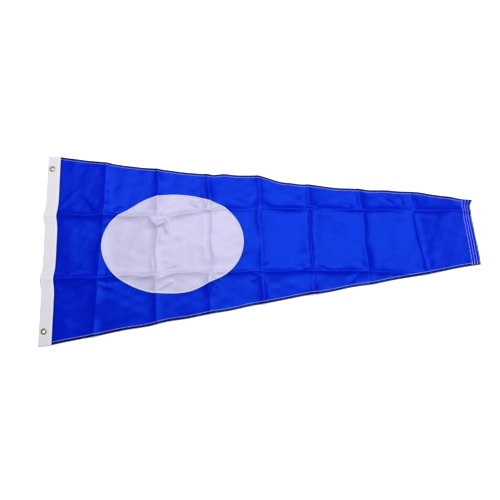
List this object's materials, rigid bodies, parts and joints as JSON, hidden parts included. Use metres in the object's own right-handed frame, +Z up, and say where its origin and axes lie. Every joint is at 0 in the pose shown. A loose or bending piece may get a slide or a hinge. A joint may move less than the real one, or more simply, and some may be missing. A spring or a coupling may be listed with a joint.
{
  "type": "signal pennant",
  "caption": "Tapered blue nylon signal pennant with an inset white ellipse, a canvas heading and two brass grommets, laid out flat.",
  "frame": {"origin": "under the middle of the pennant's outline, in the plane that the back of the grommets rests on", "axes": "+X from the hoist to the fly end, +Y to the upper edge, +Z up out of the pennant's front face"},
  "size_m": [1.016, 0.457, 0.0043],
  "materials": {
    "blue_nylon": "plain-woven nylon bunting, slight sheen, creased from folding",
    "white_nylon": "plain-woven nylon bunting, cool white, slightly translucent",
    "heading_canvas": "plain-woven duck, matt",
    "webbing": "woven polyester webbing, hidden inside the heading",
    "white_thread": "bonded polyester sewing thread",
    "brass": "drawn brass, bright with slight tarnish"
  },
  "bodies": {
    "root": {"fly_panel": "blue_nylon", "white_ellipse": "white_nylon", "heading_tape": "heading_canvas", "heading_webbing": "webbing", "upper_grommet_eyelet": "brass", "upper_grommet_washer": "brass", "lower_grommet_eyelet": "brass", "lower_grommet_washer": "brass", "ellipse_seam_needle_thread": "white_thread", "ellipse_seam_bobbin_thread": "white_thread", "heading_seam_1_needle_thread": "white_thread", "heading_seam_1_bobbin_thread": "white_thread", "heading_seam_2_needle_thread": "white_thread", "heading_seam_2_bobbin_thread": "white_thread", "upper_hem_needle_thread": "white_thread", "upper_hem_bobbin_thread": "white_thread", "lower_hem_needle_thread": "white_thread", "lower_hem_bobbin_thread": "white_thread", "fly_hem_row_1_needle_thread": "white_thread", "fly_hem_row_1_bobbin_thread": "white_thread", "fly_hem_row_2_needle_thread": "white_thread", "fly_hem_row_2_bobbin_thread": "white_thread", "fly_hem_row_3_needle_thread": "white_thread", "fly_hem_row_3_bobbin_thread": "white_thread", "fly_hem_row_4_needle_thread": "white_thread", "fly_hem_row_4_bobbin_thread": "white_thread"}
  },
  "joints": []
}
